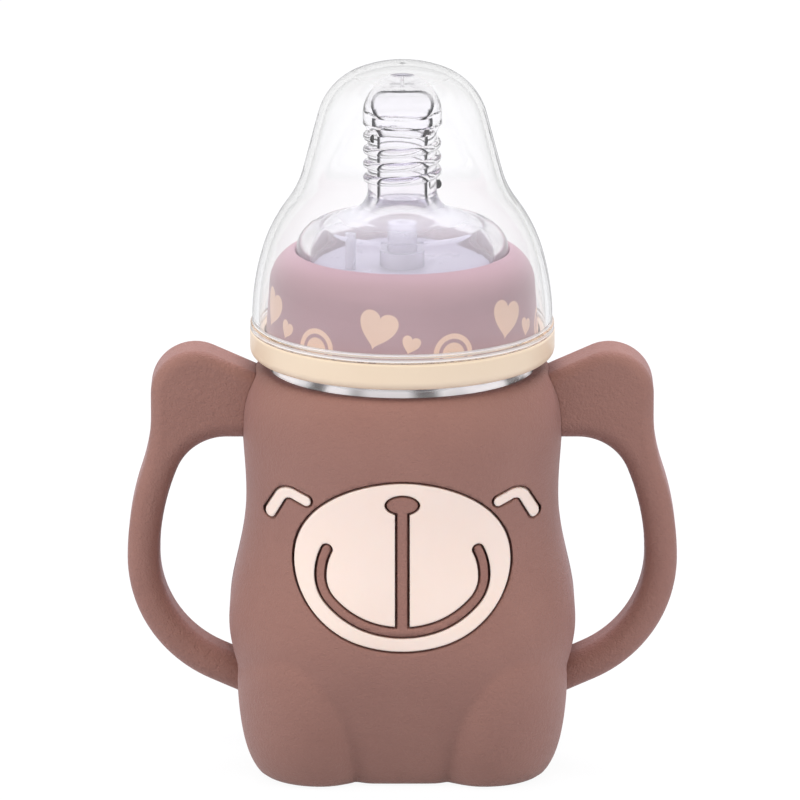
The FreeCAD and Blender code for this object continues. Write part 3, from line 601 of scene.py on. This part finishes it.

# %% [markdown]
# ## Clear pieces
# The dome, the nipple and the bottle are clear, so their finish is mostly what is seen through them. A
# full count of bent light would be slow and speckled under the dome, so lamplight goes straight
# through. Where the real piece is milky, a share of white is mixed in, and the same white also paints
# highlights and a glow onto some pieces. Where a wall is seen edge on, a share of dark paints the
# shaded line that clear things have in front of white.


# %% A clear finish
def clear(name, tint, index, smooth, cloudy_and_painted_light, rim, painted_glow=0.0):
    """A see-through finish with faint smudges.

    The white share at each place is real milkiness on some pieces and painted highlights on others, and
    the glow strength is painted light that the white gives off.
    Rim gives the share of painted dark: painted shade along walls seen edge on.
    """
    finish = Finish(name)
    place = finish.place()
    smudge = finish.noise(place, size=6 * MM, detail=3)
    ripple = finish.noise(place, size=9 * MM, detail=1)
    surface = finish.principled(
        Base_Color=finish.mix(smudge * 0.06, tint, colour(236, 236, 240)),
        Roughness=smooth + smooth * smudge,
        IOR=index,
        Transmission_Weight=1.0,
        Normal=finish.bump(ripple, depth=0.05 * MM, strength=0.2))
    shadow = finish.add("ShaderNodeLightPath", out="Is Shadow Ray")
    let_through = finish.add("ShaderNodeBsdfTransparent", None, {"Color": tint})
    lit = finish.mix_shaders(shadow, surface, let_through)
    # The white shader: milkiness, and on some pieces painted highlights and a painted glow.
    cloud = finish.principled(
        Base_Color=tint, Roughness=0.35, Emission_Color=tint, Emission_Strength=painted_glow)
    whitened = finish.mix_shaders(cloudy_and_painted_light(finish, place, smudge), lit, cloud)
    # Painted shade: a near-black shader mixed in where the rim share is high, for all but shadow rays.
    dark = finish.principled(Base_Color=colour(20, 18, 30), Roughness=0.5)
    line = rim(finish, place) * (1 - shadow)
    return finish.end(finish.mix_shaders(line, whitened, dark))


# %% Painted dark edges and even cloud
VEIL_THINNESS = 2.5


def painted_edge_shade(thinness, share, painted_veil=0.0):
    """Painted shade where a wall is seen edge on: a dark line, and a broad faint painted veil inside it.
    """
    def rim(finish, place):
        edge_on = finish.add("ShaderNodeLayerWeight", None, {"Blend": 0.5}, out="Facing")
        return edge_on ** thinness * share + edge_on ** VEIL_THINNESS * painted_veil
    return rim


def evenly(share):
    """The same share of white all over, a little patchy."""
    return lambda finish, place, smudge: share * (0.9 + 0.2 * smudge)


# %% [markdown]
# ## Dome
# The dome is thin hard plastic, as clear as glass. Only its edges show: a thin painted dark outline, a
# faint painted grey inside it, and two painted white highlight lines where the lip at its foot catches
# the light.

# %% Dome plastic
LIP_LEVEL = 96.4 * MM
LIP_STEP = 1.2 * MM


def painted_lip_highlights(finish, place, smudge):
    """Two painted white highlight lines round the dome's foot, on the edges of its lip."""
    up = finish.parts(place)[2]
    lower = abs(up - LIP_LEVEL).below(0.2 * MM, 0.1 * MM)
    upper = abs(up - LIP_LEVEL - LIP_STEP).below(0.15 * MM, 0.1 * MM)
    return (lower + upper) * 0.7 + 0.01 * smudge


dress("dome_cap", clear(
    "dome_clear_plastic", colour(255, 255, 255), index=1.45, smooth=0.01, cloudy_and_painted_light=painted_lip_highlights,
    rim=painted_edge_shade(thinness=9, share=0.6, painted_veil=0.1)))

# %% [markdown]
# ## Nipple
# The nipple is clear silicone, a little white where its wall is thick, and a painted white highlight band
# rings it where the bell flares. Its most striking mark is the dark line round the hollow of the teat,
# painted as shade: there the inner wall is about to turn all light back, as the edge of a bubble does. A
# Fresnel node knows that angle, so the painted line sits right from any side.

# %% Nipple silicone
NIPPLE_INDEX = 1.38
BELL_LEVEL = 118.5 * MM
FLARE_LEVEL = 121.5 * MM
FLARE_HALF = 2 * MM
NECK_LEVEL = 124 * MM
HEAD_LEVEL = 143 * MM
HOLLOW_REACH = 7.3 * MM
TURNING_FROM = 0.1
TURNING_TO = 0.93


def bell_milk_and_painted_highlight(finish, place, smudge):
    """A faint white in the nipple's bell, a painted highlight band where it flares from the teat, and
    none above.
    """
    up = finish.parts(place)[2]
    bell = up.below(BELL_LEVEL, 3 * MM)
    painted_flare_highlight = abs(up - FLARE_LEVEL).below(FLARE_HALF, 1.5 * MM)
    return (0.09 * bell + 0.3 * painted_flare_highlight) * (0.8 + 0.4 * smudge)


def painted_hollow_shade(finish, place):
    """Painted shade round the hollow of the teat, just before its wall turns all light back."""
    turned_back = finish.add("ShaderNodeFresnel", None, {"IOR": NIPPLE_INDEX})
    turning = turned_back.below(TURNING_TO, 0.03) - turned_back.below(TURNING_FROM, 0.04)
    across, forward, up = finish.parts(place)
    rise = (up - HEAD_LEVEL).larger(0.0)
    reach = (across * across + forward * forward + rise * rise) ** 0.5
    hollow = reach.below(HOLLOW_REACH, 0.3 * MM)
    return turning * hollow * (1 - 0.9 * up.below(NECK_LEVEL, 2 * MM))


dress("nipple", clear(
    "nipple_clear_silicone", colour(254, 253, 255), index=NIPPLE_INDEX, smooth=0.03, cloudy_and_painted_light=bell_milk_and_painted_highlight,
    rim=painted_hollow_shade))

# %% [markdown]
# ## Bottle
# Little of the glass shows: a band under the ring, where the thick shoulder gathers light in streaks.
# A dark sleeve lies behind it, so the streaks wouldn't come from bent light alone. They are painted as
# glowing white that changes with the angle round the bottle, and a painted dark line follows its edges.

# %% Bottle glass
SHOULDER_LEVEL = 87.0 * MM
SHOULDER_HALF = 1.0 * MM
SHOULDER_WAVE = 1.3 * MM
STREAK_TURN = 0.45
WAVE_TURN = 0.3


def painted_shoulder_streaks(finish, place, smudge):
    """Painted light: bright glowing streaks round the bottle's shoulder, where its thick glass would
    gather light.
    """
    across, forward, up = finish.parts(place)
    angle = across.sum_up("ARCTAN2", across, -1 * forward)
    turn = finish.add("ShaderNodeCombineXYZ", None, {"X": angle})
    painted_streak = 1 - finish.noise(turn, size=STREAK_TURN, detail=1).below(0.48, 0.08)
    wave = up - SHOULDER_WAVE * finish.noise(turn, size=WAVE_TURN, detail=1)
    band = abs(wave - SHOULDER_LEVEL).below(SHOULDER_HALF, 0.5 * MM)
    return band * (0.12 + 0.8 * painted_streak)


dress("glass_bottle", clear(
    "bottle_glass", colour(251, 252, 253), index=1.5, smooth=0.005, cloudy_and_painted_light=painted_shoulder_streaks,
    rim=painted_edge_shade(thinness=8, share=0.5), painted_glow=0.5))

# %% [markdown]
# ## Straw parts
# The tube is clear soft silicone, and its socket and the weight's shell are frosted plastic. Both are
# the clear finish with more white in it. A steel ring gives the weight, brushed round, so its fine
# lines follow the height.

# %% Hose and frosted plastic
# Both finishes also paint a dark shade line where their walls are seen edge on.
straw.data.materials.append(clear(
    "straw_clear_silicone", colour(240, 238, 246), index=1.41, smooth=0.08, cloudy_and_painted_light=evenly(0.2),
    rim=painted_edge_shade(thinness=5, share=0.3)))
frosted = clear(
    "frosted_plastic", colour(247, 244, 252), index=1.48, smooth=0.2, cloudy_and_painted_light=evenly(0.7),
    rim=painted_edge_shade(thinness=3, share=0.4))
for node in ("straw_adapter", "weight_cap", "weight_base"):
    dress(node, frosted)


# %% Steel ring
def brushed_steel():
    finish = Finish("steel_band")
    up = finish.parts(finish.place())[2]
    lines = finish.add("ShaderNodeCombineXYZ", None, {"Z": up})
    brushed = finish.noise(lines, size=0.15 * MM, detail=4, roughness=0.7)
    return finish.end(finish.principled(
        Base_Color=finish.mix(brushed, colour(196, 196, 200), colour(222, 222, 226)),
        Metallic=1.0,
        Roughness=0.24 + 0.16 * brushed))


dress("weight_ring", brushed_steel())

# %% [markdown]
# ## Floor
# The bottle stands on a white sheet. More lamplight would make the sheet white but bleach the bottle, so
# the sheet glows for the camera, and for what glass and gloss show of it. The rest of it is still lit by
# the lamps, so the bottle shades it.


# %% White sheet
FLOOR_SIZE = 4.0
GLOW = 1.04
GLOW_SHARE = 0.9


def camera_and_mirrored(finish):
    """1 for what the camera sees straight, and 1 for what gloss and glass show of it."""
    straight = finish.add("ShaderNodeLightPath", out="Is Camera Ray")
    glossy = finish.beside(straight, "Is Glossy Ray")
    mirrored = glossy.larger(finish.beside(straight, "Is Transmission Ray"))
    first = 1 - finish.beside(straight, "Diffuse Depth").smaller(1.0)
    return straight, mirrored * first


def white_floor():
    finish = Finish("floor_sheet")
    straight, mirrored = camera_and_mirrored(finish)
    sheet = finish.principled(Base_Color=colour(228, 228, 232), Roughness=0.5)
    glow = finish.add("ShaderNodeEmission", None, {"Color": colour(255, 255, 255), "Strength": GLOW})
    return finish.end(finish.mix_shaders(straight.larger(mirrored) * GLOW_SHARE, sheet, glow))


floor_mesh = bmesh.new()
bmesh.ops.create_grid(floor_mesh, x_segments=4, y_segments=4, size=FLOOR_SIZE)
floor = make_piece(floor_mesh, "floor")
floor.data.materials.append(white_floor())

# %% [markdown]
# ## Light
# Silicone looks soft under large lamps: one above the camera, one at each side, and a cool one behind
# that draws the upper edges of the ears. Small lamps would leave hard spots on the dome, and even large
# ones would be counted twice through it, so the lamps themselves are hidden from gloss and glass.


# %% Lamps
def soft_lamp(name, place, width, height, power, tint=(1, 1, 1)):
    """A softbox turned to the bottle, which leaves no spot on smooth pieces."""
    lamp = bpy.data.lights.new(name, "AREA")
    lamp.shape = "RECTANGLE"
    lamp.size = width
    lamp.size_y = height
    lamp.energy = power
    lamp.color = tint
    softbox = bpy.data.objects.new(name, lamp)
    bpy.context.collection.objects.link(softbox)
    softbox.location = place
    softbox.rotation_mode = "QUATERNION"
    softbox.rotation_quaternion = (VIEW_MIDDLE - Vector(place)).to_track_quat("-Z", "Y")
    softbox.visible_glossy = False
    softbox.visible_transmission = False
    print(name, power, "W")


soft_lamp("key_softbox", (-0.1, -0.5, 1.08), width=1.5, height=0.5, power=10.1)
soft_lamp("left_softbox", (-0.95, -0.36, 0.5), width=0.6, height=0.9, power=4.4)
soft_lamp("right_softbox", (0.95, -0.36, 0.5), width=0.6, height=0.9, power=3.6)
soft_lamp("rim_softbox", (0.1, 0.62, 0.9), width=0.9, height=0.4, power=11.0, tint=(0.84, 0.83, 1.0))

# %% World
MIRRORED_LEVEL = 0.98
FILL_LEVEL = 0.2


class Sky(Finish):
    """The world's own network of nodes."""

    def __init__(self, name):
        self.material = bpy.data.worlds.new(name)
        self.material.use_nodes = True
        self.tree = self.material.node_tree
        self.tree.nodes.clear()
        self.output = self.tree.nodes.new("ShaderNodeOutputWorld")


def studio_sky():
    """White for the camera and in gloss and glass, and a faint fill for all else."""
    sky = Sky("studio")
    straight, mirrored = camera_and_mirrored(sky)
    level = straight.larger(mirrored * MIRRORED_LEVEL).larger(FILL_LEVEL)
    return sky.end(sky.add("ShaderNodeBackground", None, {"Color": (1, 1, 1, 1), "Strength": level}))


bpy.context.scene.world = studio_sky()
print("the sky fills at", FILL_LEVEL)
